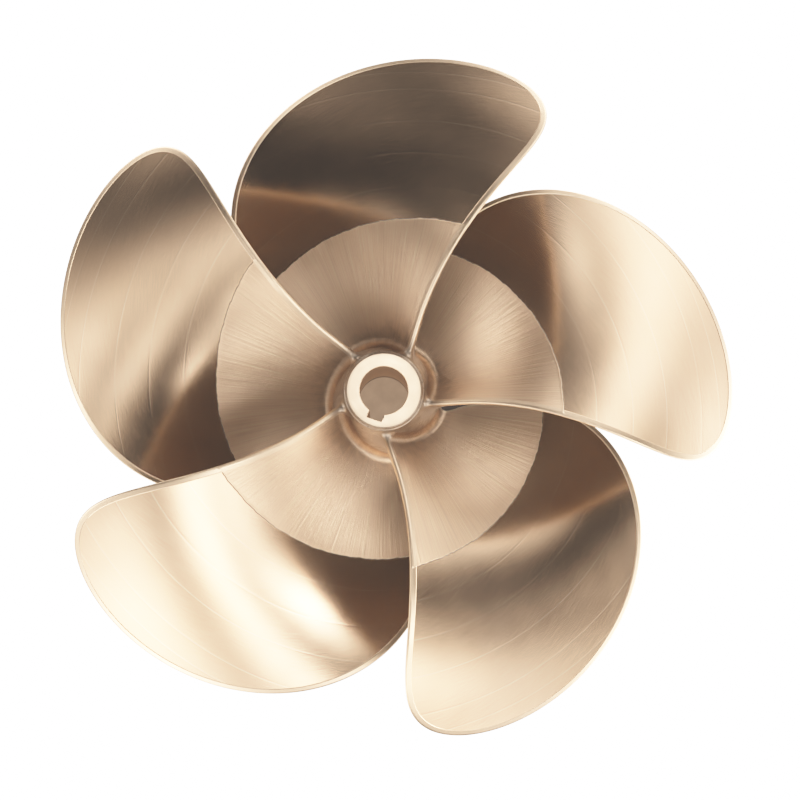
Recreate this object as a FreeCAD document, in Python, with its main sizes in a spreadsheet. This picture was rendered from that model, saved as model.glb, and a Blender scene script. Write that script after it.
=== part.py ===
"""Five-blade, left-handed, fixed-pitch boat propeller of cast bronze.

The propeller's axis is +Z, which points aft. The origin is on the axis in the plane of the hub's
forward face, on which the propeller stands when it is laid down. Angles are counter-clockwise from
+X, seen from aft. Lengths are millimetres and angles are degrees.
"""
import FreeCAD, Part
import math
import os

import Sketcher
from FreeCAD import Placement, Rotation, Vector

DIMENSIONS = {
    "bladeCount": 5,
    "tipRadius": 304.8,
    "hubLength": 150.0,
    "hubForwardRadius": 58.0,
    "hubAftRadius": 32.8,
    "hubBarrelRadius": 1400.0,
    "hubForwardRounding": 4.0,
    "hubAftRounding": 1.2,
    "boreForwardRadius": 25.4,
    "boreTaper": 16.0,
    "keywayWidth": 12.7,
    "keywayDepth": 5.5,
    "keywayAngle": 251.5,
    "edgeThickness": 4.0,
    "faceHollow": 0.082,
    "faceHollowGrowth": 0.66,
    "faceReflex": 0.22,
    "rootFlareWidth": 9.0,
    "rootFlareHeight": 20.0,
    "rootOverlap": 2.5,
}

# How the blade's sections change outwards: each law gives its value at a few stations, named by
# their radius as a percentage of the tip radius.
BLADE_LAWS = {
    "midChordAngle": {11: 91.5, 30: 104.0, 50: 102.5, 70: 95.0, 88: 85.5, 100: 78.5},
    "halfWidthAngle": {11: 32.5, 40: 40.5, 70: 40.0, 100: 41.0},
    "midChordHeight": {11: 80.0, 35: 112.0, 60: 150.2, 80: 155.8, 100: 135.5},
    "pitch": {11: 570.0, 40: 622.0, 70: 476.0, 100: 472.0},
    "thickness": {11: 27.0, 40: 17.0, 70: 9.5, 100: 4.5},
}

INNERMOST_STATION = 0.11
# The fraction of the tip radius at which the face is as hollow as faceHollow says.
HOLLOW_STATION = 0.6
ROWS_ALONG_BLADE = 36
SPACES_ACROSS_CHORD = 16
# The last row stops at this fraction of the tip radius, so that the tip is a short flat.
LAST_ROW = 0.9999
# Rounds of working out where the face meets the hub: each brings the radius closer.
ROOT_ROUNDS = 6
MATCHING_TOLERANCE = 0.01
SEWING_TOLERANCE = 0.01


def fill_sheet(doc):
    """Put every driving dimension and every law's stations in a spreadsheet, one alias each."""
    values = dict(DIMENSIONS)
    for law, stations in BLADE_LAWS.items():
        for percent, value in stations.items():
            values[f"{law}At{percent}"] = value
    sheet = doc.addObject("Spreadsheet::Sheet", "Dimensions")
    for row, (alias, value) in enumerate(values.items(), start=1):
        sheet.set(f"A{row}", alias)
        sheet.set(f"B{row}", str(value))
        sheet.setAlias(f"B{row}", alias)
    doc.recompute()
    return sheet


def origin_plane(body, role):
    """The body's own origin plane of that role."""
    for feature in body.Origin.OriginFeatures:
        if feature.Role == role:
            return feature
    raise ValueError(f"{body.Label} has no {role}")


def bind_point(sketch, geometry, end, radius, height):
    """Hold one end of a line at a radius and a height, each an expression on the sheet."""
    place = sketch.getPoint(geometry, end)
    bindings = (("DistanceX", place.x, radius), ("DistanceY", place.y, height))
    for kind, value, expression in bindings:
        number = sketch.addConstraint(Sketcher.Constraint(kind, -1, 1, geometry, end, value))
        sketch.setExpression(f"Constraints[{number}]", expression)


def join_ends(sketch, count):
    """Make each of an outline's edges start where the one before it ends."""
    for edge in range(count):
        sketch.addConstraint(Sketcher.Constraint("Coincident", edge, 2, (edge + 1) % count, 1))


def circular_edge(shape, radius, height):
    """Name of the shape's circular edge about the axis with that radius and height."""
    for number, edge in enumerate(shape.Edges, start=1):
        if not isinstance(edge.Curve, Part.Circle):
            continue
        miss = max(abs(edge.Curve.Radius - radius), abs(edge.Curve.Center.z - height))
        if miss < MATCHING_TOLERANCE:
            return f"Edge{number}"
    raise ValueError(f"no circular edge of radius {radius} at height {height}")


def round_edge(doc, body, name, radius, height, rounding):
    """Round one circular edge of the body by a dimension of the sheet."""
    tip = body.Tip
    fillet = body.newObject("PartDesign::Fillet", name)
    fillet.Base = (tip, [circular_edge(tip.Shape, radius, height)])
    fillet.setExpression("Radius", f"Dimensions.{rounding}")
    doc.recompute()


def turn_hub(doc, sheet, body, bore_aft):
    """Revolve the hub's half section: two flat ends, the tapered bore and a barrel side."""
    forward = Vector(sheet.hubForwardRadius, 0, 0)
    aft = Vector(sheet.hubAftRadius, sheet.hubLength, 0)
    bore = Vector(sheet.boreForwardRadius, 0, 0)
    bore_end = Vector(sheet.boreForwardRadius, sheet.hubLength, 0)
    bulge = Vector((aft - forward).Length ** 2 / (8 * sheet.hubBarrelRadius), 0, 0)
    side = Part.Arc(forward, (forward + aft) / 2 + bulge, aft)
    profile = body.newObject("Sketcher::SketchObject", "HubProfile")
    profile.AttachmentSupport = (origin_plane(body, "XZ_Plane"), [""])
    profile.MapMode = "FlatFace"
    profile.addGeometry(Part.LineSegment(bore, forward), False)
    profile.addGeometry(side, False)
    profile.addGeometry(Part.LineSegment(aft, bore_end), False)
    profile.addGeometry(Part.LineSegment(bore_end, bore), False)
    join_ends(profile, 4)
    bind_point(profile, 0, 1, "Dimensions.boreForwardRadius", "0")
    bind_point(profile, 0, 2, "Dimensions.hubForwardRadius", "0")
    bind_point(profile, 2, 1, "Dimensions.hubAftRadius", "Dimensions.hubLength")
    bind_point(profile, 2, 2, bore_aft, "Dimensions.hubLength")
    number = profile.addConstraint(Sketcher.Constraint("Radius", 1, sheet.hubBarrelRadius))
    profile.setExpression(f"Constraints[{number}]", "Dimensions.hubBarrelRadius")
    turned = body.newObject("PartDesign::Revolution", "TurnedHub")
    turned.Profile = profile
    turned.ReferenceAxis = (profile, ["V_Axis"])
    turned.Angle = 360
    doc.recompute()


def cut_keyway(doc, sheet, body, bore_aft):
    """Cut the keyway right through, its floor parallel to the tapered wall of the bore."""
    section = body.newObject("Sketcher::SketchObject", "KeywaySection")
    section.AttachmentSupport = (origin_plane(body, "XZ_Plane"), [""])
    section.MapMode = "FlatFace"
    turn = Rotation(Vector(0, 1, 0), sheet.keywayAngle)
    section.AttachmentOffset = Placement(Vector(0, 0, 0), turn)
    inner, outer = sheet.boreForwardRadius / 2, sheet.boreForwardRadius + sheet.keywayDepth
    corners = [
        Vector(inner, 0, 0),
        Vector(outer, 0, 0),
        Vector(outer, sheet.hubLength, 0),
        Vector(inner, sheet.hubLength, 0),
    ]
    for start, end in zip(corners, corners[1:] + corners[:1]):
        section.addGeometry(Part.LineSegment(start, end), False)
    join_ends(section, 4)
    bind_point(section, 0, 1, "Dimensions.boreForwardRadius / 2", "0")
    bind_point(section, 0, 2, "Dimensions.boreForwardRadius + Dimensions.keywayDepth", "0")
    bind_point(section, 2, 1, f"{bore_aft} + Dimensions.keywayDepth", "Dimensions.hubLength")
    bind_point(section, 2, 2, "Dimensions.boreForwardRadius / 2", "Dimensions.hubLength")
    before = body.Shape.Volume
    keyway = body.newObject("PartDesign::Pocket", "Keyway")
    keyway.Profile = section
    keyway.SideType = "Symmetric"
    keyway.setExpression("Length", "Dimensions.keywayWidth")
    doc.recompute()
    if body.Shape.Volume >= before:
        raise ValueError("the keyway cut nothing")


def add_hub(doc, sheet):
    """The hub: a barrel-sided cone with rounded rims, a tapered bore and one keyway."""
    bore_aft = "Dimensions.boreForwardRadius - Dimensions.hubLength / Dimensions.boreTaper / 2"
    body = doc.addObject("PartDesign::Body", "hub")
    body.Label = "hub"
    turn_hub(doc, sheet, body, bore_aft)
    round_edge(doc, body, "AftRim", sheet.hubAftRadius, sheet.hubLength, "hubAftRounding")
    round_edge(doc, body, "ForwardRim", sheet.hubForwardRadius, 0, "hubForwardRounding")
    cut_keyway(doc, sheet, body, bore_aft)
    return body


class BladeForm:
    """Points of the first blade's surface, worked out from the sheet.

    Chord positions run from -1 at the trailing edge to 1 at the leading edge. The face is the
    pressure side, which looks aft.
    """

    def __init__(self, sheet):
        self.sheet = sheet
        self.laws = {}
        for name, stations in BLADE_LAWS.items():
            self.laws[name] = [(percent / 100, getattr(sheet, f"{name}At{percent}"))
                               for percent in stations]

    def law(self, name, radius):
        """A law's value at a radius: the polynomial through its stations."""
        fraction = radius / self.sheet.tipRadius
        total = 0
        for station, value in self.laws[name]:
            others = [other for other, _ in self.laws[name] if other != station]
            weight = math.prod((fraction - other) / (station - other) for other in others)
            total += value * weight
        return total

    def hub_radius(self, height):
        """Radius of the hub's barrel side at a height."""
        sheet = self.sheet
        slope = sheet.hubForwardRadius - sheet.hubAftRadius
        chord = math.hypot(slope, sheet.hubLength)
        inset = math.sqrt(sheet.hubBarrelRadius ** 2 - (chord / 2) ** 2)
        centre_radius = (sheet.hubForwardRadius + sheet.hubAftRadius) / 2
        centre_radius -= inset * sheet.hubLength / chord
        centre_height = sheet.hubLength / 2 - inset * slope / chord
        reach = sheet.hubBarrelRadius ** 2 - (height - centre_height) ** 2
        return centre_radius + math.sqrt(reach)

    def half_width(self, radius):
        """Half the blade's width at a radius, as an angle in radians. It closes at the tip."""
        outward = radius / self.sheet.tipRadius - INNERMOST_STATION
        outward = max(0, outward / (1 - INNERMOST_STATION))
        return math.radians(self.law("halfWidthAngle", radius)) * math.sqrt(1 - outward ** 4)

    def flare(self, radius, height):
        """How far the surface swells at the root, where the blade runs into the hub."""
        rise = radius - self.hub_radius(height)
        fade = max(0, 1 - rise / self.sheet.rootFlareHeight)
        return self.sheet.rootFlareWidth * fade ** 3

    def point(self, radius, chord, side):
        """A point of the face (side 0) or of the back (side 1)."""
        half_width = self.half_width(radius)
        advance = self.law("pitch", radius) / (2 * math.pi)
        angle = math.radians(self.law("midChordAngle", radius)) + chord * half_width
        narrowing = half_width / math.radians(self.law("halfWidthAngle", radius))
        hollow = self.sheet.faceHollow * (1 - chord ** 2) * half_width * radius * narrowing
        hollow *= (1 + self.sheet.faceHollowGrowth * (radius / self.sheet.tipRadius - HOLLOW_STATION)
                   + self.sheet.faceReflex * chord * narrowing)
        height = self.law("midChordHeight", radius) - advance * chord * half_width - hollow

        crown = self.law("thickness", radius) - self.sheet.edgeThickness
        thickness = self.sheet.edgeThickness + crown * (1 - chord ** 2)
        flare = self.flare(radius, height)
        through = -flare if side == 0 else thickness + flare
        along = chord * flare / 2
        helix = math.hypot(radius, advance)
        angle += (along * radius - through * advance) / helix / radius
        height -= (along * advance + through * radius) / helix
        return Vector(radius * math.cos(angle), radius * math.sin(angle), height)

    def root_radius(self, chord):
        """Radius at which the face meets the hub's side at a chord position."""
        radius = self.sheet.hubAftRadius
        for _ in range(ROOT_ROUNDS):
            radius = self.hub_radius(self.point(radius, chord, 0).z)
        return radius

    def surface(self, side):
        """The smooth surface of the face or the back, from inside the hub to the tip."""
        rows = []
        chords = [2 * step / SPACES_ACROSS_CHORD - 1 for step in range(SPACES_ACROSS_CHORD + 1)]
        inner = [self.root_radius(chord) - self.sheet.rootOverlap for chord in chords]
        outer = self.sheet.tipRadius * LAST_ROW
        for row in range(ROWS_ALONG_BLADE + 1):
            share = math.sin(math.pi / 2 * row / ROWS_ALONG_BLADE) ** 2
            rows.append([self.point(start + (outer - start) * share, chord, side)
                         for start, chord in zip(inner, chords)])
        surface = Part.BSplineSurface()
        surface.interpolate(rows)
        return surface


def border_curves(surface):
    """The four edges of a surface: root, tip, trailing and leading."""
    first_row, last_row, first_chord, last_chord = surface.bounds()
    return [
        surface.uIso(first_row).toShape(),
        surface.uIso(last_row).toShape(),
        surface.vIso(first_chord).toShape(),
        surface.vIso(last_chord).toShape(),
    ]


def blade_solid(sheet, hub_shape):
    """One blade: face, back and a straight strip along each border, cut to the hub's side."""
    form = BladeForm(sheet)
    face, back = form.surface(0), form.surface(1)
    faces = [face.toShape(), back.toShape()]
    for face_edge, back_edge in zip(border_curves(face), border_curves(back)):
        faces.append(Part.makeRuledSurface(face_edge, back_edge))
    shell = Part.makeShell(faces)
    shell.sewShape(SEWING_TOLERANCE)
    solid = Part.makeSolid(shell)
    if solid.Volume < 0:
        solid.reverse()
    return solid.cut(hub_shape)


def add_blades(doc, sheet, hub_shape):
    """All the blades: one solid, turned about the axis to each place."""
    solid = blade_solid(sheet, hub_shape)
    blades = []
    count = int(sheet.bladeCount)
    for number in range(count):
        blade = doc.addObject("Part::Feature", f"blade_{number + 1}")
        blade.Label = f"blade_{number + 1}"
        blade.Shape = solid
        blade.Placement = Placement(Vector(0, 0, 0), Rotation(Vector(0, 0, 1), number * 360 / count))
        blades.append(blade)
    return blades


def check_objects(doc, subparts):
    """Stop if any object failed to compute or any sub-part isn't a valid solid."""
    for item in doc.Objects:
        if "Invalid" in item.State or "Error" in item.State:
            raise ValueError(f"{item.Label} is {item.State}")
    for subpart in subparts:
        shape = subpart.Shape
        if shape.isNull() or not shape.isValid() or len(shape.Solids) != 1:
            raise ValueError(f"{subpart.Label} isn't one valid solid")


def main():
    doc = FreeCAD.newDocument("Propeller")
    sheet = fill_sheet(doc)
    hub = add_hub(doc, sheet)
    subparts = [hub] + add_blades(doc, sheet, hub.Shape)
    doc.recompute()
    check_objects(doc, subparts)
    os.makedirs("parts", exist_ok=True)
    for subpart in subparts:
        subpart.Shape.exportStep(f"parts/{subpart.Label}.step")


main()
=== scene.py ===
"""Looks of a five-blade, left-handed boat propeller of cast, ground and brushed bronze.

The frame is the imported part's: the propeller's axis is +Z, which points aft, and the origin is on
the axis in the plane of the hub's forward face, which stands on the floor. Lengths are metres.
"""

import math

import bpy
import numpy as np
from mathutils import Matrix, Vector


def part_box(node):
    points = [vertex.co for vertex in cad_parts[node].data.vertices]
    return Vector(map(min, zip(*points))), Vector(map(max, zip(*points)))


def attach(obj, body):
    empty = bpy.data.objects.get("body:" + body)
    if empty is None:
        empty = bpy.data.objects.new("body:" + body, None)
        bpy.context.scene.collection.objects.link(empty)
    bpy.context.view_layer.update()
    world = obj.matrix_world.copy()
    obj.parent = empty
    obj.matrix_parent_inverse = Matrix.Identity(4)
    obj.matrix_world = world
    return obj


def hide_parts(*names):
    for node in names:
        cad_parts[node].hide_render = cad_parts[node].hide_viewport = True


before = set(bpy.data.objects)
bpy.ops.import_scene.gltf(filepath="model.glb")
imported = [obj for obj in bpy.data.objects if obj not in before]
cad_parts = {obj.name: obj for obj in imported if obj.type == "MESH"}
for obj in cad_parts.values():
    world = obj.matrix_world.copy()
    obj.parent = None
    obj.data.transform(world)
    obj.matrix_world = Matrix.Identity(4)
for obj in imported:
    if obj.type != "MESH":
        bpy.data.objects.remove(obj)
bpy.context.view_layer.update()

MM = 0.001

# The propeller's driving sizes, the same as the part's. The blade laws and the face's hollow were
# fitted by separate programs and rounded.
BLADE_COUNT = 5
HUB_AFT_RADIUS = 32.8 * MM
TIP_RADIUS = 304.8 * MM
BLADE_LAWS = {
    "midChordAngle": {11: 91.5, 30: 104.0, 50: 102.5, 70: 95.0, 88: 85.5, 100: 78.5},
    "halfWidthAngle": {11: 32.5, 40: 40.5, 70: 40.0, 100: 41.0},
    "midChordHeight": {11: 80.0, 35: 112.0, 60: 150.2, 80: 155.8, 100: 135.5},
    "pitch": {11: 570.0, 40: 622.0, 70: 476.0, 100: 472.0},
    "thickness": {11: 27.0, 40: 17.0, 70: 9.5, 100: 4.5},
}
INNERMOST_STATION = 0.11
EDGE_THICKNESS = 4.0 * MM
FACE_HOLLOW = 0.082
HOLLOW_STATION = 0.6
FACE_HOLLOW_GROWTH = 0.66
FACE_REFLEX = 0.22
HUB_BARREL_RADIUS = 1400 * MM
BORE_FORWARD_RADIUS = 25.4 * MM
BORE_TAPER = 16
KEYWAY_WIDTH = 12.7 * MM
KEYWAY_DEPTH = 5.5 * MM
KEYWAY_ANGLE = math.radians(251.5)
HUB_FORWARD_ROUNDING = 4.0 * MM
HUB_AFT_ROUNDING = 1.2 * MM
BORE_CHAMFER = 0.5 * MM

# The turned shoulder below the hub's aft rim.
SHOULDER_RELIEF = 0.9 * MM
SHOULDER_DROP = 4.2 * MM
SHOULDER_RAMP = 0.8 * MM

# The root, where the blade runs into the hub in a fillet.
ROOT_NOMINAL = 45 * MM
ROOT_FILLET = 9 * MM
ROOT_SINK = 1.5 * MM
SETTLE_LENGTH = 26 * MM

# The face: an inner zone that stands proud of the outer zone, and a rim band along the outline.
ZONE_RADIUS = 148 * MM
ZONE_STEP = 0.5 * MM
ZONE_RAMP = 0.8 * MM
ZONE_LIP = 0.12 * MM
ZONE_WANDER_REACH = 4 * MM
FACE_SIDE_LEAN = 1.6
BAND_WIDTH = 4.5 * MM
BAND_SLOPE = 0.45 * MM
EDGE_ROUND = 2.0 * MM
SCRIBED_RADII = [share * TIP_RADIUS for share in (0.575, 0.675, 0.775, 0.885, 0.945)]
SCRIBED_DEPTH = 0.03 * MM
SCRIBED_WIDTH = 0.3 * MM

FACE_COLUMNS = 150
BACK_COLUMNS = 70
OUTER_ROWS = 84
OUTLINE_SAMPLES = 6001
ROW_SPACING = 2.2 * MM

# Height of each wave in a surface, as a share of the wave's length.
HAND_WAVE = 0.00028
CAST_ROUGHNESS = 0.0011

SEED = 7


def smooth(share):
    """A smooth step from 0 to 1 as share runs from 0 to 1."""
    share = np.clip(share, 0, 1)
    return share * share * (3 - 2 * share)


def law(name, radius):
    """A blade law's value at a radius: the polynomial through its stations."""
    fraction = radius / TIP_RADIUS
    stations = [(percent / 100, value) for percent, value in BLADE_LAWS[name].items()]
    total = 0
    for station, value in stations:
        weight = 1.0
        for other, _ in stations:
            if other != station:
                weight = weight * (fraction - other) / (station - other)
        total = total + value * weight
    return total


def closing(radius):
    """1 at the root, falling to 0 at the tip: the square of how the half width closes."""
    outward = (radius / TIP_RADIUS - INNERMOST_STATION) / (1 - INNERMOST_STATION)
    return 1 - np.clip(outward, 0, 1) ** 4


def full_width(radius):
    return np.radians(law("halfWidthAngle", radius))


def half_width(radius):
    """Half the blade's width at a radius, as an angle."""
    return full_width(radius) * np.sqrt(closing(radius))


def fullness(radius, turn):
    """1 at mid-chord near the root, falling to 0 all along the outline."""
    return closing(radius) - (turn / full_width(radius)) ** 2


def face_height(radius, turn):
    """Height of the face at a radius and an angle from mid-chord, before its fine shape."""
    advance = law("pitch", radius) * MM / (2 * math.pi)
    across = turn / full_width(radius)
    shape = 1 + FACE_HOLLOW_GROWTH * (radius / TIP_RADIUS - HOLLOW_STATION) + FACE_REFLEX * across
    hollow = FACE_HOLLOW * shape * radius * full_width(radius) * fullness(radius, turn)
    return law("midChordHeight", radius) * MM - advance * turn - hollow


class Hub:
    """The hub's sizes, from its box in the frame."""

    def __init__(self):
        low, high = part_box("hub")
        self.forward = high.x
        self.length = high.z
        aft = BORE_FORWARD_RADIUS - self.length / BORE_TAPER / 2
        self.bore_aft = aft
        self.rim = HUB_AFT_RADIUS

    def barrel(self, height):
        """Radius of the hub's side at a height, without the shoulder."""
        share = height / self.length
        top = self.rim + SHOULDER_RELIEF
        bulge = (self.length ** 2 + (self.forward - top) ** 2) / (8 * HUB_BARREL_RADIUS)
        return self.forward + (top - self.forward) * share + 4 * bulge * share * (1 - share)

    def side(self, height):
        """Radius of the hub's side with the turned shoulder below the aft rim."""
        start = self.length - SHOULDER_DROP
        return self.barrel(height) - SHOULDER_RELIEF * smooth((height - start) / SHOULDER_RAMP)


def root_radius(hub, turn):
    """Radius at which the face meets the hub's side."""
    radius = np.full_like(turn, hub.rim)
    for _ in range(10):
        radius = hub.barrel(face_height(radius, turn))
    return radius


def fillet_swell(rise):
    """How far the surface moves outwards in the root fillet at a rise from the hub's side."""
    near = ROOT_FILLET - np.clip(rise, 0, ROOT_FILLET)
    return ROOT_FILLET - np.sqrt(ROOT_FILLET ** 2 - near ** 2)


def skin(hub, nominal, turn, depth, lean):
    """Points of the first blade.

    nominal is the radius before the root is fitted to the hub, turn is the angle from mid-chord,
    depth is the distance below the face, and lean is the way the surface looks in its section:
    -90 degrees at the trailing edge, 90 at the leading edge, 0 on the face and 180 on the back.
    """
    limit = half_width(np.full_like(turn, ROOT_NOMINAL))
    root = root_radius(hub, np.clip(turn, -limit, limit))
    settle = 1 - smooth((nominal - ROOT_NOMINAL - ROOT_FILLET) / SETTLE_LENGTH)
    radius = nominal + (root - ROOT_NOMINAL) * settle
    height = face_height(radius, turn)
    swell = fillet_swell(radius - hub.barrel(height))
    advance = law("pitch", radius) * MM / (2 * math.pi)
    helix = np.hypot(radius, advance)
    along = np.sin(lean) * swell
    through = depth - np.cos(lean) * swell
    angle = np.radians(law("midChordAngle", radius)) + turn
    angle = angle + (along * radius - through * advance) / helix / radius
    moved = height - (along * advance + through * radius) / helix
    radius = radius + (hub.barrel(moved) - hub.barrel(height)) * settle
    return np.stack([radius * np.cos(angle), radius * np.sin(angle), moved], axis=-1)


def outline(share):
    """Nominal radius and turn of the outline: trailing root at 0, tip at a half, leading at 1."""
    radius = ROOT_NOMINAL + (TIP_RADIUS - ROOT_NOMINAL) * np.sin(math.pi * share)
    side = np.sign(share - 0.5)
    return radius, side * half_width(radius)


def flat_point(radius, turn):
    """The plain face's point, which measures distances along the face."""
    angle = np.radians(law("midChordAngle", radius)) + turn
    height = face_height(radius, turn)
    return np.stack([radius * np.cos(angle), radius * np.sin(angle), height], axis=-1)


def inset(share, distance):
    """Nominal radius and turn at a distance inwards from the outline, along the face."""
    small = 1e-5
    radius, turn = outline(share)
    after, before = outline(np.clip(share + small, 0, 1)), outline(np.clip(share - small, 0, 1))
    tangent = flat_point(*after) - flat_point(*before)
    by_radius = (flat_point(radius + small, turn) - flat_point(radius - small, turn)) / small / 2
    by_turn = (flat_point(radius, turn + small) - flat_point(radius, turn - small)) / small / 2
    normal = np.cross(by_radius, by_turn)
    inward = np.cross(normal, tangent)
    inward /= np.linalg.norm(inward, axis=-1, keepdims=True)
    a = np.sum(by_radius ** 2, -1)
    b = np.sum(by_radius * by_turn, -1)
    c = np.sum(by_turn ** 2, -1)
    p = np.sum(by_radius * inward, -1)
    q = np.sum(by_turn * inward, -1)
    scale = a * c - b * b
    moved = radius + distance * (c * p - b * q) / scale
    turned = turn + distance * (a * q - b * p) / scale
    hold = smooth((radius - ROOT_NOMINAL) / (ROOT_FILLET * 3))
    return radius + (moved - radius) * hold, turned


def row_radii(last):
    """Nominal radii of the mesh's rows from inside the hub to the last row before the tip."""
    rise = [ROOT_FILLET * (1 - math.cos(math.pi / 2 * step / 9)) for step in range(10)]
    rows = [ROOT_NOMINAL - ROOT_SINK] + [ROOT_NOMINAL + value for value in rise]
    start = rows[-1]
    inner = ZONE_RADIUS - 3 * MM
    count = round((inner - start) / ROW_SPACING)
    rows += [start + (inner - start) * step / count for step in range(1, count + 1)]
    steps = (-1.8, -1.0, -0.6, -0.3, 0, 0.2, 0.4, 0.6, 0.8, 1.1, 1.8, 3.0)
    rows += [ZONE_RADIUS + step * MM for step in steps]
    start = rows[-1]
    turns = [math.pi / 2 * step / OUTER_ROWS for step in range(1, OUTER_ROWS - 2)]
    outer = [start + (last - start) * math.sin(turn) for turn in turns]
    lines = [line + share * SCRIBED_WIDTH for line in SCRIBED_RADII for share in (-1.6, -0.8, 0, 0.8, 1.6)]
    gap = 2.2 * SCRIBED_WIDTH
    outer = [row for row in outer if all(abs(row - line) > gap for line in SCRIBED_RADII)]
    return np.array(rows + sorted(outer + lines))


def band_profile():
    """Strips of the rim band and the rounded edge, from the face inwards of it to the back.

    Each is (distance from the outline, depth in the outer zone, depth in the inner zone, lean).
    """
    low = ZONE_STEP
    strips = [(BAND_WIDTH + 0.8 * MM, low, 0.0, 0.0), (BAND_WIDTH + 0.5 * MM, low, 0.0, 0.0),
              (BAND_WIDTH + 0.25 * MM, 0.5 * low, 0.0, 0.0), (BAND_WIDTH, 0.0, 0.0, 0.0)]
    for share in (0.15, 0.35, 0.6, 0.85):
        distance = BAND_WIDTH + (EDGE_ROUND - BAND_WIDTH) * share
        strips.append((distance, BAND_SLOPE * share, 0.0, 0.0))
    count = 10
    for step in range(count + 1):
        lean = math.pi * step / count
        for_zone = []
        for top in (BAND_SLOPE, 0.0):
            for_zone.append((top + EDGE_THICKNESS) / 2 - (EDGE_THICKNESS - top) / 2 * math.cos(lean))
        strips.append((EDGE_ROUND * (1 - math.sin(lean)), for_zone[0], for_zone[1], lean))
    return strips


def scribed_depth(radius):
    """Depth of the fine arcs scribed in the outer zone at constant radii."""
    return sum(SCRIBED_DEPTH * np.exp(-((radius - line) / SCRIBED_WIDTH) ** 2) for line in SCRIBED_RADII)


def hand_waviness(points, random):
    """A slight unevenness left by grinding by hand."""
    total = 0
    for _ in range(14):
        way = random.normal(size=3)
        way /= np.linalg.norm(way)
        length = random.uniform(22, 70) * MM
        total = total + np.sin(points @ way * 2 * math.pi / length + random.uniform(0, 6.3)) * length
    return total * HAND_WAVE


def ragged(angle, random):
    """The zone line's small wander along its arc."""
    total = 0
    for count in (9, 17, 31, 55, 83, 140, 190):
        total = total + np.sin(angle * count + random.uniform(0, 6.3)) * (0.16 - 0.0004 * count)
    return total * MM


class Faces:
    """Vertices, faces and material numbers of one mesh, gathered piece by piece."""

    def __init__(self, number=0):
        self.number = number
        self.points = []
        self.count = 0
        self.faces = []
        self.marks = []

    def add_points(self, points):
        points = np.asarray(points, float)
        numbers = np.arange(self.count, self.count + points.size // 3).reshape(points.shape[:-1])
        self.points.append(points.reshape(-1, 3))
        self.count += points.size // 3
        return numbers

    def add_grid(self, grid, marks, flip=False):
        """Quads of a grid of vertex numbers. marks is one number or one for each quad."""
        a, b, c, d = grid[:-1, :-1], grid[:-1, 1:], grid[1:, 1:], grid[1:, :-1]
        order = (a, d, c, b) if flip else (a, b, c, d)
        quads = np.stack(order, axis=-1).reshape(-1, 4)
        self.faces += quads.tolist()
        self.marks += np.broadcast_to(marks, a.shape).reshape(-1).tolist()

    def add_fan(self, row, point, mark, flip=False):
        """Triangles from a row of vertex numbers to one point."""
        for a, b in zip(row[:-1], row[1:]):
            self.faces.append([b, a, point] if flip else [a, b, point])
            self.marks.append(mark)

    def add_polar_map(self, mesh, points):
        """Each corner's angle about the axis and distance from it, before the piece is turned."""
        angle = np.arctan2(points[:, 1], points[:, 0])
        radius = np.hypot(points[:, 0], points[:, 1])
        corners = np.zeros(len(mesh.loops), int)
        mesh.loops.foreach_get("vertex_index", corners)
        layer = mesh.uv_layers.new(name=POLAR)
        pairs = np.stack([angle[corners] + 11.0 * self.number, radius[corners]], axis=-1)
        layer.data.foreach_set("uv", pairs.reshape(-1).astype(np.float32))

    def build(self, name, materials, turn=0.0, sharp=45):
        points = np.concatenate(self.points)
        cosine, sine = math.cos(turn), math.sin(turn)
        matrix = np.array([[cosine, sine, 0], [-sine, cosine, 0], [0, 0, 1]])
        mesh = bpy.data.meshes.new(name)
        mesh.from_pydata((points @ matrix).tolist(), [], self.faces)
        for material in materials:
            mesh.materials.append(material)
        mesh.polygons.foreach_set("material_index", self.marks)
        mesh.polygons.foreach_set("use_smooth", [True] * len(self.faces))
        mesh.set_sharp_from_angle(angle=math.radians(sharp))
        mesh.use_auto_texspace = False
        mesh.texspace_location = (0, 0, 0)
        mesh.texspace_size = (1, 1, 1)
        self.add_polar_map(mesh, points)
        mesh.update()
        piece = bpy.data.objects.new(name, mesh)
        bpy.context.scene.collection.objects.link(piece)
        return piece


# Material numbers on a blade and on the hub.
INNER, OUTER, BAND, BACK, STEP = range(5)
AFT_END, SIDE, BORE, FORWARD_END = range(4)


def matched_shares(rows, distance):
    """Outline positions on each side whose inset points lie at the rows' radii, and the tip's."""
    dense = np.linspace(0, 1, OUTLINE_SAMPLES)
    radius, _ = inset(dense, distance)
    top = int(np.argmax(radius))
    trailing = np.interp(rows, radius[:top + 1], dense[:top + 1])
    leading = np.interp(rows, radius[top:][::-1], dense[top:][::-1])
    return trailing, leading, dense[top]


def crown_depth(radius, turn):
    """How much thicker the section is than its edge."""
    crown = law("thickness", radius) * MM - EDGE_THICKNESS
    return crown * np.clip(fullness(radius, turn), 0, 1)


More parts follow.
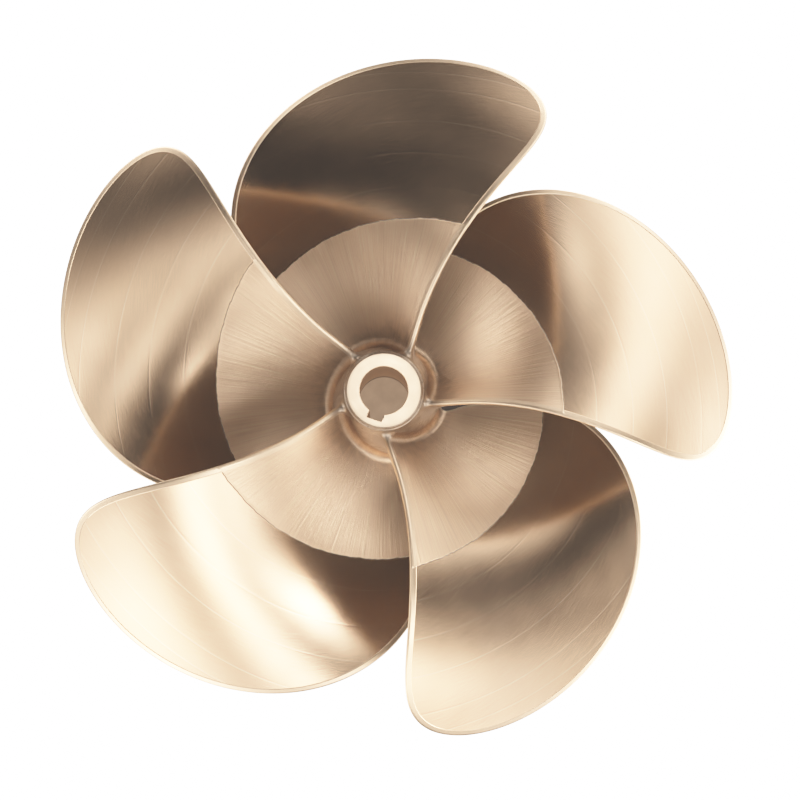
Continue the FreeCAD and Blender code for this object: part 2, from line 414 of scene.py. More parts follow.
def blade_mesh(hub, number):
    """One blade: face, rim band, rounded edge, back and the hidden end inside the hub."""
    strips = band_profile()
    first = strips[0][0]
    dense, _ = inset(np.linspace(0, 1, OUTLINE_SAMPLES), first)
    rows = row_radii(float(dense.max()))
    trailing, leading, tip = matched_shares(rows, first)
    ring = np.concatenate([trailing, [tip], leading[::-1]])
    faces = Faces(number)

    def surface(nominal, turn, outer_depth, inner_depth, lean):
        """Points with the zone's step, the scribed arcs and the unevenness of the face."""
        plain = flat_point(nominal, turn)
        wander = ragged(np.arctan2(plain[..., 1], plain[..., 0]), np.random.default_rng(SEED + number))
        near = np.exp(-((nominal - ZONE_RADIUS) / ZONE_WANDER_REACH) ** 2)
        nominal = nominal + wander * near * (np.abs(lean) < FACE_SIDE_LEAN)
        past_zone = nominal - wander * near - ZONE_RADIUS
        zone = smooth(past_zone / ZONE_RAMP)
        lip = ZONE_LIP * np.exp(-((past_zone + 0.5 * MM) / (0.45 * MM)) ** 2)
        depth = inner_depth + (outer_depth - inner_depth) * zone
        fine = scribed_depth(nominal) * zone - lip
        fine = fine + hand_waviness(plain, np.random.default_rng(SEED * 3 + number))
        thick = crown_depth(nominal, turn) * (1 - np.cos(lean)) / 2
        depth = depth + thick + fine * (np.cos(lean) + 1) / 2
        return skin(hub, nominal, turn, depth, lean)

    # The rim band and the rounded edge follow the outline from the trailing root to the leading.
    side = np.where(ring < tip, -1.0, 1.0)
    side[len(rows)] = 0.0
    band = []
    for distance, outer_depth, inner_depth, lean in strips:
        nominal, turn = inset(ring, distance)
        sink = np.concatenate([rows, [TIP_RADIUS], rows[::-1]]) - ROOT_NOMINAL
        nominal = np.where(sink < 0, ROOT_NOMINAL + sink, nominal)
        signed = np.full_like(nominal, lean) * np.where(side == 0, 1.0, side)
        band.append(surface(nominal, turn, outer_depth, inner_depth, signed))
    band = faces.add_points(np.stack(band))
    faces.add_grid(band, BAND)

    # The face and the back fill the band's two borders with rows of constant radius.
    count = len(rows)
    middle = (rows[:-1] + rows[1:]) / 2
    outward = np.where(middle < ZONE_RADIUS + ZONE_RAMP, STEP, OUTER)
    face_marks = np.where(middle < ZONE_RADIUS, INNER, outward)
    end_rows = []
    for border, columns, lean, marks, tip_mark, flip in (
            (0, FACE_COLUMNS, 0.0, face_marks, OUTER, False),
            (len(strips) - 1, BACK_COLUMNS, math.pi, np.full_like(face_marks, BACK), BACK, True)):
        distance, outer_depth, inner_depth, _ = strips[border]
        ends = [inset(trailing, distance), inset(leading, distance)]
        for end in ends:
            end[0][rows < ROOT_NOMINAL] = rows[rows < ROOT_NOMINAL]
        spread = np.linspace(0, 1, columns + 1)[1:-1]
        nominal = ends[0][0][:, None] * (1 - spread) + ends[1][0][:, None] * spread
        turn = ends[0][1][:, None] * (1 - spread) + ends[1][1][:, None] * spread
        points = surface(nominal, turn, outer_depth, inner_depth, np.full_like(nominal, lean))
        inside = faces.add_points(points)
        left, right = band[border][:count], band[border][count + 1:][::-1]
        grid = np.concatenate([left[:, None], inside, right[:, None]], axis=1)
        faces.add_grid(grid, marks[:, None], flip=flip)
        faces.add_fan(grid[-1].tolist(), int(band[border][count]), tip_mark, flip=flip)
        end_rows.append(grid[0])

    # The hidden end.
    face_end, back_end = end_rows
    loop = [*back_end[1:-1], *band[::-1, -1], *face_end[1:-1][::-1], *band[:, 0]]
    faces.faces.append([int(v) for v in loop][::-1])
    faces.marks.append(BACK)
    return faces


def bore_loop(wall, grow):
    """The bore's outline with its keyway, moved outwards by grow, keyway towards +X."""
    half = KEYWAY_WIDTH / 2 + grow
    radius, floor = wall + grow, wall + KEYWAY_DEPTH + grow
    start = math.asin(half / radius)
    turns = np.linspace(start, 2 * math.pi - start, 241)
    arc = [(radius * math.cos(turn), radius * math.sin(turn)) for turn in turns]
    side = radius * math.cos(start)
    lower = [(side + (floor - side) * share, -half) for share in (0.25, 0.5, 0.75, 1)]
    across = [(floor, half * share) for share in (-0.6, -0.2, 0.2, 0.6, 1)]
    upper = [(floor + (side - floor) * share, half) for share in (0.25, 0.5, 0.75)]
    return np.array(arc + lower + across + upper)


def hub_mesh(hub):
    """The hub: bore and keyway, two flat ends, rounded rims and a side with a turned shoulder."""
    start = bore_loop(hub.bore_aft, 0)
    angles = np.unwrap(np.arctan2(start[:, 1], start[:, 0])) + KEYWAY_ANGLE
    rings = []

    def turned_loop(wall, grow, height):
        loop = bore_loop(wall, grow)
        x = loop[:, 0] * math.cos(KEYWAY_ANGLE) - loop[:, 1] * math.sin(KEYWAY_ANGLE)
        y = loop[:, 0] * math.sin(KEYWAY_ANGLE) + loop[:, 1] * math.cos(KEYWAY_ANGLE)
        return np.stack([x, y, np.full_like(x, height)], axis=-1)

    def circle(radius, height):
        level = np.full_like(angles, height)
        return np.stack([radius * np.cos(angles), radius * np.sin(angles), level], axis=-1)

    def wall_at(height):
        return BORE_FORWARD_RADIUS + (hub.bore_aft - BORE_FORWARD_RADIUS) * height / hub.length

    # From the aft face's outer rim inwards, down the bore and out again over the forward face.
    top = circle(hub.rim - HUB_AFT_ROUNDING, hub.length)
    inner_top = turned_loop(wall_at(hub.length), BORE_CHAMFER, hub.length)
    for share in (0, 0.3, 0.65, 1):
        rings.append((top * (1 - share) + inner_top * share, AFT_END))
    for share in np.linspace(0, 1, 25):
        height = (hub.length - BORE_CHAMFER) * (1 - share) + BORE_CHAMFER * share
        rings.append((turned_loop(wall_at(height), 0, height), BORE))
    inner_low = turned_loop(wall_at(0), BORE_CHAMFER, 0)
    low = circle(hub.forward - HUB_FORWARD_ROUNDING, 0)
    for share in (0, 0.35, 0.7, 1):
        rings.append((inner_low * (1 - share) + low * share, FORWARD_END))
    for step in range(1, 9):
        lean = math.pi / 2 * step / 8
        radius = hub.forward - HUB_FORWARD_ROUNDING * (1 - math.sin(lean))
        rings.append((circle(radius, HUB_FORWARD_ROUNDING * (1 - math.cos(lean))), FORWARD_END))
    heights = list(np.linspace(HUB_FORWARD_ROUNDING, hub.length - SHOULDER_DROP - 2 * MM, 66))[1:]
    shoulder = (-1, -0.4, 0, 0.2, 0.4, 0.6, 0.8, 1.2, 2.0)
    heights += [hub.length - SHOULDER_DROP + step * MM for step in shoulder]
    for height in heights:
        ring = circle(hub.side(height), height)
        rough = cast_roughness(ring) * smooth((hub.length - 1 * MM - height) / (4 * MM))
        ring[:, :2] *= (1 + rough / hub.side(height))[:, None]
        rings.append((ring, SIDE))
    for step in range(7):
        lean = math.pi / 2 * step / 6
        radius = hub.rim - HUB_AFT_ROUNDING * (1 - math.cos(lean))
        height = hub.length - HUB_AFT_ROUNDING * (1 - math.sin(lean))
        rings.append((circle(radius, height), SIDE))
    faces = Faces()
    numbers = faces.add_points(np.stack([ring for ring, _ in rings]))
    numbers[-1] = numbers[0]
    grid = np.concatenate([numbers, numbers[:, :1]], axis=1)
    marks = np.array([mark for _, mark in rings[1:]])[:, None]
    faces.add_grid(grid, np.broadcast_to(marks, (len(rings) - 1, grid.shape[1] - 1)))
    return faces


def cast_roughness(points):
    """Small bumps of a cast skin, smoothed by hand."""
    random = np.random.default_rng(SEED + 50)
    total = 0
    for _ in range(26):
        way = random.normal(size=3)
        way /= np.linalg.norm(way)
        length = random.uniform(5, 26) * MM
        total = total + np.sin(points @ way * 2 * math.pi / length + random.uniform(0, 6.3)) * length
    return total * CAST_ROUGHNESS


BRONZE = (0.84, 0.6, 0.41)
BRUSHED_BRONZE = (0.98, 0.705, 0.49)
PALE_BRONZE = (0.98, 0.76, 0.55)
# Dark tone of the zone step, all painted shade, and of the hub's side, partly cast skin and partly painted
# shade.
DARK_BRONZE = (0.28, 0.225, 0.175)
# Tone where the blades meet the hub, darkened as painted shade of the root crease.
ROOT_SHADE_BRONZE = (0.4, 0.325, 0.255)
# The backs' tone, darkened as painted shade so that their reflections darken the next blade's face.
BACK_SHADE_BRONZE = (0.15, 0.118, 0.092)
WARMER = (1.0, 0.97, 0.92)
POLAR = "polar"
# Height above the forward end over which the bore wall's painted shade fades out.
BORE_SHADE_HEIGHT = 30 * MM

FLOOR_RADIUS = 6
FLOOR_LEVEL = -0.4 * MM
PALE_FLOOR = (0.8, 0.77, 0.74)
# The floor's painted shadow under the propeller, seen only in reflections.
PAINTED_FLOOR_SHADOW = (0.05, 0.042, 0.036)
PAINTED_FLOOR_SHADOW_RADIUS = 0.31
PAINTED_FLOOR_SHADOW_FADE = 0.08
PAD_RADIUS = 90 * MM
PAD_LEVEL = -0.2 * MM
PAD_MIDDLE = 32 * MM
# Painted shade of the floor under the hub.
PAD_SHADE_COLOR = (0.05, 0.045, 0.04)
# Glow colour of the pad's middle, painted light seen through the bore.
PAD_MIDDLE_GLOW_COLOR = (1.0, 0.62, 0.38)


class Shading:
    """The nodes of one material, a metal unless told otherwise, and short ways to add to them."""

    def __init__(self, name, roughness, metallic=1.0):
        self.material = bpy.data.materials.new(name)
        self.material.use_nodes = True
        self.tree = self.material.node_tree
        self.shader = self.tree.nodes["Principled BSDF"]
        self.shader.inputs["Metallic"].default_value = metallic
        self.shader.inputs["Roughness"].default_value = roughness

    def add(self, kind, **settings):
        node = self.tree.nodes.new("ShaderNode" + kind)
        for name, value in settings.items():
            setattr(node, name, value)
        return node

    def give(self, socket, value):
        """Join a socket to an output, or set its own value."""
        if isinstance(value, bpy.types.NodeSocket):
            self.tree.links.new(value, socket)
        else:
            socket.default_value = value

    def math(self, operation, *values):
        node = self.add("Math", operation=operation)
        for socket, value in zip(node.inputs, values):
            self.give(socket, value)
        return node.outputs[0]

    def polar(self):
        """The angle about the axis in radians and the distance from it in metres."""
        split = self.add("SeparateXYZ")
        self.give(split.inputs[0], self.add("UVMap", uv_map=POLAR).outputs[0])
        return split.outputs[0], split.outputs[1]

    def place(self):
        """The point in the frame, in metres."""
        return self.add("TexCoord").outputs["Object"]

    def distance(self, point=(0.0, 0.0, 0.0)):
        """How far the point is from another, in metres."""
        node = self.add("VectorMath", operation="DISTANCE")
        self.give(node.inputs[0], self.place())
        self.give(node.inputs[1], point)
        return node.outputs["Value"]

    def vector(self, x, y, z=0.0):
        node = self.add("CombineXYZ")
        for socket, value in zip(node.inputs, (x, y, z)):
            self.give(socket, value)
        return node.outputs[0]

    def stretched(self, first, first_scale, second, second_scale, third=0.0):
        """A vector of two measures, each at its own scale."""
        x = self.math("MULTIPLY", first, first_scale)
        return self.vector(x, self.math("MULTIPLY", second, second_scale), third)

    def noise(self, vector, scale=1.0, detail=2.0, rough=0.5):
        node = self.add("TexNoise")
        values = {"Vector": vector, "Scale": scale, "Detail": detail, "Roughness": rough}
        for name, value in values.items():
            self.give(node.inputs[name], value)
        return node.outputs["Fac"]

    def spread(self, value, start, end, low, high, kind="LINEAR"):
        """A value running from start to end, made to run from low to high."""
        node = self.add("MapRange", interpolation_type=kind)
        for socket, number in zip(node.inputs, (value, start, end, low, high)):
            self.give(socket, number)
        return node.outputs[0]

    def mix(self, share, first, second):
        node = self.add("Mix", data_type="RGBA")
        sockets = [socket for socket in node.inputs if socket.type == "RGBA"]
        self.give(node.inputs[0], share)
        for socket, color in zip(sockets, (first, second)):
            self.give(socket, color if isinstance(color, bpy.types.NodeSocket) else (*color, 1))
        return [socket for socket in node.outputs if socket.type == "RGBA"][0]

    def shade(self, color, share, low, high):
        """The colour made darker or lighter, from low to high as share runs from 0 to 1."""
        factor = self.spread(share, 0.0, 1.0, low, high)
        node = self.add("VectorMath", operation="SCALE")
        self.give(node.inputs[0], color)
        self.give(node.inputs["Scale"], factor)
        return node.outputs[0]

    def bump(self, height, distance, strength=1.0, normal=None):
        node = self.add("Bump")
        self.give(node.inputs["Height"], height)
        self.give(node.inputs["Distance"], distance)
        self.give(node.inputs["Strength"], strength)
        if normal is not None:
            self.give(node.inputs["Normal"], normal)
        return node.outputs[0]

    def brush_way(self, stretch, turn):
        """Reflections stretched across brush lines: turn 0.25 for lines about the axis, 0 outwards."""
        tangent = self.add("Tangent", direction_type="RADIAL", axis="Z")
        self.give(self.shader.inputs["Tangent"], tangent.outputs[0])
        self.shader.inputs["Anisotropic"].default_value = stretch
        self.shader.inputs["Anisotropic Rotation"].default_value = turn

    def finish(self, color, roughness, normal):
        self.give(self.shader.inputs["Base Color"], color)
        self.give(self.shader.inputs["Roughness"], roughness)
        self.give(self.shader.inputs["Normal"], normal)
        return self.material


def tone(shading, color, amount):
    """Broad, faint patches that make the metal's colour a little uneven."""
    broad = shading.noise(shading.place(), 9.0, 3.0, 0.55)
    warmer = [part * share for part, share in zip(color, WARMER)]
    warm = shading.mix(shading.spread(broad, 0.3, 0.7, 0.0, 1.0), color, warmer)
    small = shading.noise(shading.place(), 55.0, 4.0, 0.6)
    return shading.shade(warm, small, 1 - amount, 1 + amount)


def outer_face():
    """Ground face beyond the zone line: fine brushing about the axis, scratches and scribed arcs."""
    s = Shading("bronze_face_outer", 0.215)
    angle, radius = s.polar()
    grain = s.noise(s.stretched(radius, 1500.0, angle, 7.0), 1.0, 3.0, 0.65)
    leaning = s.math("MULTIPLY_ADD", angle, 70.0, s.math("MULTIPLY", radius, 900.0))
    streaks = s.noise(s.vector(leaning, s.math("MULTIPLY", angle, 10.0), 4.0), 1.0, 4.0, 0.6)
    steep = s.math("MULTIPLY_ADD", angle, -180.0, s.math("MULTIPLY", radius, 1300.0))
    scratches = s.noise(s.vector(steep, s.math("MULTIPLY", angle, 6.0), 9.0), 1.0, 2.0, 0.5)
    patches = s.noise(s.place(), 14.0, 2.0)
    where = s.spread(patches, 0.5, 0.66, 0.0, 1.0, "SMOOTHSTEP")
    marks = s.math("MULTIPLY", s.spread(scratches, 0.66, 0.76, 0.0, 1.0), where)
    lines = 0.0
    for line in SCRIBED_RADII:
        away = s.math("ABSOLUTE", s.math("SUBTRACT", radius, line))
        pulse = s.spread(away, 0.0, 1.7 * SCRIBED_WIDTH, 1.0, 0.0, "SMOOTHSTEP")
        lines = s.math("MAXIMUM", lines, pulse)
    wear = s.noise(s.stretched(angle, 3.0, radius, 14.0), 1.0, 3.0)
    lines = s.math("MULTIPLY", lines, s.spread(wear, 0.36, 0.56, 0.3, 1.0))
    color = tone(s, BRONZE, 0.03)
    color = s.shade(color, streaks, 0.93, 1.07)
    color = s.shade(color, grain, 0.93, 1.07)
    color = s.mix(s.math("MULTIPLY", marks, 0.3), color, PALE_BRONZE)
    color = s.mix(s.math("MULTIPLY", lines, 0.85), color, PALE_BRONZE)
    rough = s.math("ADD", s.spread(streaks, 0.2, 0.8, 0.18, 0.24), s.spread(patches, 0.3, 0.7, -0.02, 0.03))
    rough = s.math("MAXIMUM", rough, s.math("MULTIPLY", lines, 0.27))
    normal = s.bump(grain, 0.03 * MM)
    normal = s.bump(streaks, 0.04 * MM, 1.0, normal)
    normal = s.bump(marks, 0.02 * MM, 1.0, normal)
    s.brush_way(0.46, 0.25)
    return s.finish(color, rough, normal)


def inner_face():
    """Face near the hub: coarse brush lines running straight out from the axis."""
    s = Shading("bronze_face_inner", 0.5)
    angle, radius = s.polar()
    fine = s.noise(s.stretched(angle, 190.0, radius, 14.0), 1.0, 3.0, 0.7)
    coarse = s.noise(s.stretched(angle, 62.0, radius, 9.0, 3.0), 1.0, 3.0, 0.65)
    fanned = s.math("MULTIPLY_ADD", radius, 60.0, s.math("MULTIPLY", angle, 150.0))
    crossing = s.noise(s.vector(fanned, s.math("MULTIPLY", radius, 12.0), 7.0), 1.0, 2.0)
    sparks = s.noise(s.stretched(angle, 260.0, radius, 22.0, 5.0), 1.0, 2.0)
    glints = s.spread(sparks, 0.66, 0.78, 0.0, 1.0)
    color = tone(s, BRUSHED_BRONZE, 0.04)
    color = s.shade(color, coarse, 0.86, 1.16)
    color = s.shade(color, fine, 0.66, 1.34)
    color = s.mix(s.math("MULTIPLY", glints, 0.5), color, PALE_BRONZE)
    # Painted shade: the face darkens towards the root fillet where it meets the hub, along a wandering
    # edge.
    root_shade_wander = s.math("MULTIPLY_ADD", s.noise(s.place(), 120.0, 3.0), 12 * MM, -6 * MM)
    near = s.spread(s.math("ADD", radius, root_shade_wander), 40 * MM, 72 * MM, 0.0, 1.0, "SMOOTHSTEP")
    color = s.shade(color, near, 0.3, 1.0)
    rough = s.math("ADD", s.spread(fine, 0.2, 0.8, 0.34, 0.46), s.spread(coarse, 0.2, 0.8, -0.04, 0.04))
    normal = s.bump(fine, 0.26 * MM)
    normal = s.bump(coarse, 0.35 * MM, 1.0, normal)
    normal = s.bump(crossing, 0.06 * MM, 1.0, normal)
    s.brush_way(0.62, 0.0)
    return s.finish(color, rough, normal)


def zone_step_shade():
    """The small step where the grinding of the outer zone stopped, dark with painted shade."""
    s = Shading("bronze_step_shade", 0.5)
    small = s.noise(s.place(), 300.0, 3.0, 0.6)
    # Painted shade: the step's dark line is painted into its colour.
    color = s.shade(DARK_BRONZE, small, 0.35, 0.75)
    rough = s.spread(small, 0.2, 0.8, 0.4, 0.6)
    return s.finish(color, rough, s.bump(small, 0.05 * MM))


def rim_band():
    """The rim band and the rounded edge, paler than the face, with painted shade darker at the root."""
    s = Shading("bronze_rim", 0.3)
    _, radius = s.polar()
    small = s.noise(s.place(), 420.0, 3.0, 0.6)
    broad = s.noise(s.place(), 60.0, 3.0, 0.6)
    # Painted shade near the root, where the blade meets the hub.
    near = s.spread(radius, 41 * MM, 58 * MM, 0.0, 1.0, "SMOOTHSTEP")
    color = s.shade(s.mix(near, ROOT_SHADE_BRONZE, tone(s, PALE_BRONZE, 0.05)), small, 0.93, 1.07)
    rough = s.math("ADD", s.spread(small, 0.2, 0.8, 0.34, 0.42), s.spread(broad, 0.3, 0.7, -0.03, 0.05))
    normal = s.bump(broad, 0.02 * MM)
    normal = s.bump(small, 0.008 * MM, 1.0, normal)
    return s.finish(color, rough, normal)


def back_face():
    """The back of the blades: ground along the blade, duller than the face, and painted dark so that its
    reflection paints shade on the next blade's face.
    """
    s = Shading("bronze_back", 0.5)
    angle, radius = s.polar()
    sweep = s.noise(s.stretched(radius, 420.0, angle, 12.0), 1.0, 4.0, 0.65)
    steep = s.math("MULTIPLY_ADD", angle, 90.0, s.math("MULTIPLY", radius, 260.0))
    facets = s.noise(s.vector(steep, s.math("MULTIPLY", angle, 5.0), 2.0), 1.0, 2.0)
    # Near the root the back takes the root's painted shade tone, the same as the hub's side.
    near = s.spread(radius, 46 * MM, 72 * MM, 0.0, 1.0, "SMOOTHSTEP")
    color = s.mix(near, ROOT_SHADE_BRONZE, tone(s, BACK_SHADE_BRONZE, 0.06))
    color = s.shade(color, sweep, 0.88, 1.1)
    rough = s.spread(sweep, 0.2, 0.8, 0.44, 0.56)
    normal = s.bump(sweep, 0.12 * MM)
    normal = s.bump(facets, 0.2 * MM, 1.0, normal)
    s.brush_way(0.4, 0.25)
    return s.finish(color, rough, normal)


def turned_rings(s, spacing):
    """Fine rings about the axis that a lathe leaves."""
    angle, radius = s.polar()
    across = s.math("DIVIDE", radius, spacing)
    return s.noise(s.vector(across, s.math("MULTIPLY", angle, 0.6)), 1.0, 3.0, 0.6)


def hub_end():
    """The hub's aft face, turned flat."""
    s = Shading("bronze_hub_end", 0.3)
    rings = turned_rings(s, 0.9 * MM)
    stain = s.noise(s.place(), 70.0, 4.0, 0.6)
    color = s.shade(s.shade(tone(s, PALE_BRONZE, 0.03), rings, 0.95, 1.04), stain, 0.95, 1.03)
    rough = s.math("ADD", s.spread(rings, 0.2, 0.8, 0.27, 0.36), s.spread(stain, 0.3, 0.7, -0.02, 0.05))
    normal = s.bump(rings, 0.012 * MM)
    s.brush_way(0.5, 0.25)
    return s.finish(color, rough, normal)


def hub_side():
    """The hub's side between the blades: a cast skin, filed and a little pitted, kept dark partly as
    painted shade between the blade roots.
    """
    s = Shading("bronze_hub_side", 0.4)
    lumps = s.noise(s.place(), 110.0, 4.0, 0.6)
    pits = s.spread(s.noise(s.place(), 330.0, 2.0, 0.5), 0.24, 0.36, 0.0, 1.0)
    filed = s.noise(s.place(), 700.0, 3.0, 0.6)
    # Partly painted shade: both tones are kept dark, as in the crease between the blade roots.
    color = s.mix(s.spread(lumps, 0.3, 0.62, 0.9, 0.1), ROOT_SHADE_BRONZE, DARK_BRONZE)
    color = s.shade(s.shade(color, pits, 0.45, 1.0), filed, 0.88, 1.1)
    rough = s.math("ADD", s.spread(lumps, 0.2, 0.8, 0.46, 0.3), s.spread(pits, 0.0, 1.0, 0.2, 0.0))
    normal = s.bump(lumps, 0.5 * MM)
    normal = s.bump(pits, 0.12 * MM, 1.0, normal)
    normal = s.bump(filed, 0.05 * MM, 1.0, normal)
    return s.finish(color, rough, normal)


def bore_wall():
    """The tapered bore and its keyway, bored smooth, with painted shade darkening the wall towards its
    forward end.
    """
    s = Shading("bronze_bore", 0.3)
    place = s.place()
    split = s.add("SeparateXYZ")
    s.give(split.inputs[0], place)
    rings = s.noise(s.vector(s.math("MULTIPLY", split.outputs[2], 1400.0), 0.0), 1.0, 3.0, 0.6)
    stain = s.noise(place, 60.0, 4.0, 0.6)
    color = s.shade(s.shade(tone(s, BRONZE, 0.05), rings, 0.9, 1.08), stain, 0.8, 1.08)
    # Painted shade: the wall darkens to nearly black towards the forward end, next to the pad.
    low = s.spread(split.outputs[2], 0.0, BORE_SHADE_HEIGHT, 0.0, 1.0, "SMOOTHSTEP")
    color = s.shade(color, low, 0.06, 1.0)
    rough = s.math("ADD", s.spread(rings, 0.2, 0.8, 0.26, 0.36), s.spread(stain, 0.3, 0.7, 0.0, 0.12))
    normal = s.bump(rings, 0.03 * MM)
    return s.finish(color, rough, normal)


# Fitted by a separate program and rounded.
CAMERA_PLACE = (0.00178, -0.07511, 1.0639)
CAMERA_TURN = (4.18, -0.755, 0)
CAMERA_LENS = 48


def make_camera():
    data = bpy.data.cameras.new("camera")
    camera = bpy.data.objects.new("camera", data)
    camera.location = CAMERA_PLACE
    camera.rotation_euler = [math.radians(degrees) for degrees in CAMERA_TURN]
    data.lens = CAMERA_LENS
    data.sensor_width = 36
    data.clip_start = 0.01
    bpy.context.scene.collection.objects.link(camera)
    bpy.context.scene.camera = camera


def show_from_above(s, glow):
    """Shows a sheet only from above, so that the object can be seen from below.

    A glow is what the camera sees instead of the sheet. Reflections see the sheet itself.
    """
    surface = s.shader.outputs[0]
    if glow:
        light, choice = s.add("Emission"), s.add("MixShader")
        s.give(light.inputs["Strength"], glow)
        s.give(choice.inputs[0], s.add("LightPath").outputs["Is Camera Ray"])
        s.give(choice.inputs[1], surface)
        s.give(choice.inputs[2], light.outputs[0])
        surface = choice.outputs[0]
    mix = s.add("MixShader")
    s.give(mix.inputs[0], s.add("NewGeometry").outputs["Backfacing"])
    s.give(mix.inputs[1], surface)
    s.give(mix.inputs[2], s.add("BsdfTransparent").outputs[0])
    s.give(s.tree.nodes["Material Output"].inputs["Surface"], mix.outputs[0])


def stage_sheet(name, radius, level, color, roughness, glow=0.0):
    """A round sheet lying level."""
    bpy.ops.mesh.primitive_circle_add(vertices=96, radius=radius, fill_type="NGON", location=(0, 0, level))
    sheet = bpy.context.object
    sheet.name = name
    s = Shading(name, roughness, metallic=0.0)
    s.give(s.shader.inputs["Base Color"], (*color, 1))
    show_from_above(s, glow)
    sheet.data.materials.append(s.material)
    return s


def make_floor():
    """A pale floor, plain white to the camera, with a painted shadow under the propeller that only
    reflections see.
    """
    s = stage_sheet("floor", FLOOR_RADIUS, FLOOR_LEVEL, PALE_FLOOR, 0.8, glow=SHOULDER_WHITE)
    # Painted shadow: dark within the propeller's reach, fading out to the pale floor.
    outward = s.spread(s.distance(), PAINTED_FLOOR_SHADOW_RADIUS, PAINTED_FLOOR_SHADOW_RADIUS + PAINTED_FLOOR_SHADOW_FADE, 0.0, 1.0)
    s.give(s.shader.inputs["Base Color"], s.mix(outward, PAINTED_FLOOR_SHADOW, PALE_FLOOR))


def make_pad():
    """A dark board under the hub as painted shade, with a brown, uneven middle which glows as painted light
    through the bore.
    """
    s = stage_sheet("pad", PAD_RADIUS, PAD_LEVEL, PAD_SHADE_COLOR, 0.6)
    # Painted light: the middle glows brown where the shaded floor would show through the bore.
    level = s.spread(s.noise(s.place(), 60.0, 4.0), 0.25, 0.75, 0.36, 0.5)
    middle = s.spread(s.distance(), PAD_MIDDLE, PAD_MIDDLE + MM, 1.0, 0.0)
    s.give(s.shader.inputs["Emission Color"], (*PAD_MIDDLE_GLOW_COLOR, 1))
    s.give(s.shader.inputs["Emission Strength"], s.math("MULTIPLY", level, middle))


TENT_RADIUS = 0.64
TENT_HEIGHT = 1.1
TENT_SIDES = 96
# Soft patches of light on the tent's cloth: (wall or ceiling, degrees about the axis, height on the
# wall or distance from the axis on the ceiling, width, brightness). Most of these numbers were
# printed by a separate fitting program and rounded, and the rest were changed by hand.
PATCHES = [
    ("wall", 320, 0.86, 0.20, 14.0),
    ("wall", 325, 0.00, 0.18, 12.0),
    ("wall", 126, 0.00, 0.18, 11.0),
    ("wall", 63, 0.00, 0.18, 10.0),
    ("wall", 354, 0.03, 0.19, 14.0),
    ("wall", 271, 0.59, 0.18, 7.5),
    ("wall", 236, 0.21, 0.19, 7.5),
    ("wall", 191, 0.27, 0.18, 5.6),
    ("wall", 299, 0.43, 0.17, 5.0),
    ("wall", 40, 0.32, 0.18, 4.2),
    ("wall", 12, 0.22, 0.12, 2.0),
    ("wall", 208, 0.72, 0.18, 2.6),
    ("wall", 49, 0.60, 0.18, 2.6),
    ("wall", 82, 0.72, 0.20, 2.5),
    ("ceiling", 80, 0.13, 0.18, 8.0),
]
TENT_GLOW = 0.02
WARM_LIGHT = (1.0, 0.89, 0.81)
VEIL = 0.025
SHOULDER_WHITE = 4.0


def tent_mesh():
    """A round wall and a ceiling, open at the floor."""
    count = TENT_SIDES
    spokes = [math.radians(360 * number / count) for number in range(count)]
    points = [(TENT_RADIUS * math.cos(angle), TENT_RADIUS * math.sin(angle), height)
              for height in (0.0, TENT_HEIGHT) for angle in spokes]
    wall = [(number, (number + 1) % count, count + (number + 1) % count, count + number)
            for number in range(count)]
    mesh = bpy.data.meshes.new("tent")
    mesh.from_pydata(points, [], wall + [tuple(range(count, 2 * count))])
    return mesh


def patch_light(s, where, azimuth, reach_or_level, width, brightness, others):
    """Adds one soft patch's brightness to the others'."""
    angle = math.radians(azimuth)
    on_wall = where == "wall"
    reach = TENT_RADIUS if on_wall else reach_or_level
    level = reach_or_level if on_wall else TENT_HEIGHT
    centre = (reach * math.cos(angle), reach * math.sin(angle), level)
    share = s.math("DIVIDE", s.distance(centre), width)
    falling = s.math("EXPONENT", s.math("MULTIPLY", s.math("POWER", share, 2.0), -1.0))
    return s.math("MULTIPLY_ADD", falling, brightness, others)


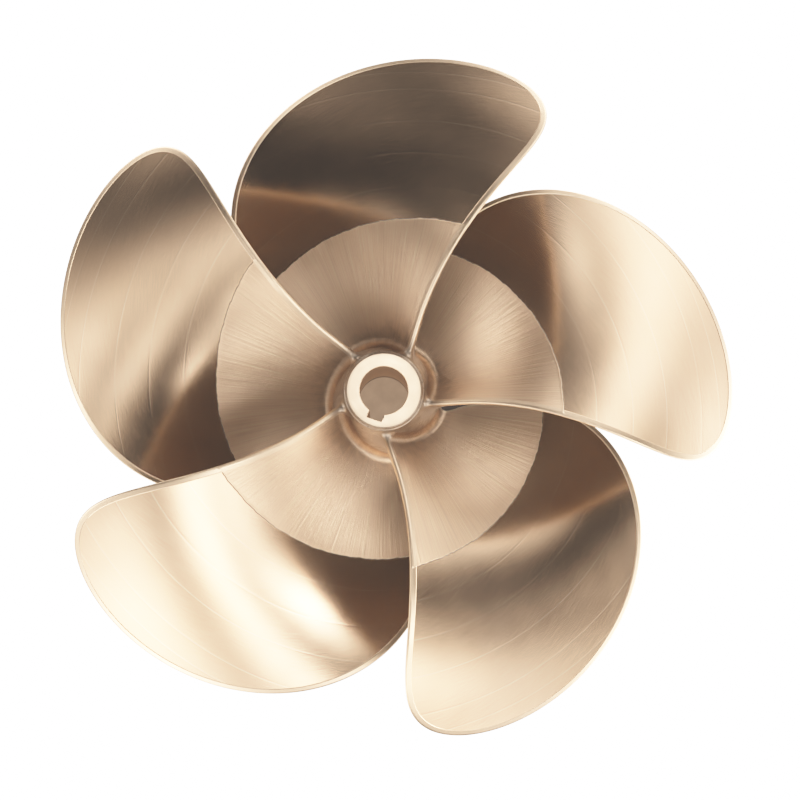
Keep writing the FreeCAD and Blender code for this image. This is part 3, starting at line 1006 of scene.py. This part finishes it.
def make_tent():
    """A round tent of white cloth with soft patches of light, seen only in reflections."""
    tent = bpy.data.objects.new("tent", tent_mesh())
    bpy.context.scene.collection.objects.link(tent)
    s = Shading("tent", 1.0, metallic=0.0)
    s.tree.nodes.remove(s.shader)
    total = TENT_GLOW
    for patch in PATCHES:
        total = patch_light(s, *patch, total)
    light = s.add("Emission")
    s.give(light.inputs["Color"], (*WARM_LIGHT, 1))
    s.give(light.inputs["Strength"], total)
    s.give(s.tree.nodes["Material Output"].inputs["Surface"], light.outputs[0])
    tent.data.materials.append(s.material)
    tent.visible_camera = False
    tent.visible_shadow = False


def make_world():
    world = bpy.data.worlds.new("world")
    bpy.context.scene.world = world
    world.use_nodes = True
    background = world.node_tree.nodes["Background"]
    background.inputs["Color"].default_value = (1, 1, 1, 1)
    background.inputs["Strength"].default_value = SHOULDER_WHITE


def photographic_view():
    """A plain film curve: bright parts roll off softly to white, and the darkest are lifted a little."""
    view = bpy.context.scene.view_settings
    view.view_transform = "Standard"
    view.use_curve_mapping = True
    mapping = view.curve_mapping
    mapping.white_level = (SHOULDER_WHITE,) * 3
    curve = mapping.curves[3]
    top = 1 - math.exp(-SHOULDER_WHITE)
    points = [(share, VEIL + (1 - VEIL) * (1 - math.exp(-SHOULDER_WHITE * share)) / top)
              for share in (0, 0.03, 0.07, 0.12, 0.18, 0.26, 0.36, 0.48, 0.62, 0.8, 1)]
    while len(curve.points) < len(points):
        curve.points.new(0.5, 0.5)
    for point, place in zip(curve.points, points):
        point.location = place
    mapping.update()


def make_blades(hub):
    materials = [inner_face(), outer_face(), rim_band(), back_face(), zone_step_shade()]
    for number in range(BLADE_COUNT):
        name = f"blade_{number + 1}"
        turn = 2 * math.pi / BLADE_COUNT * number
        piece = blade_mesh(hub, number).build(name + ".visual", materials, turn=turn)
        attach(piece, "root")
        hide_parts(name)


def make_hub(hub):
    piece = hub_mesh(hub).build("hub.visual", [hub_end(), hub_side(), bore_wall(), hub_end()])
    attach(piece, "root")
    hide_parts("hub")


def main():
    hub = Hub()
    make_blades(hub)
    make_hub(hub)
    make_floor()
    make_pad()
    make_tent()
    make_world()
    make_camera()
    photographic_view()


main()
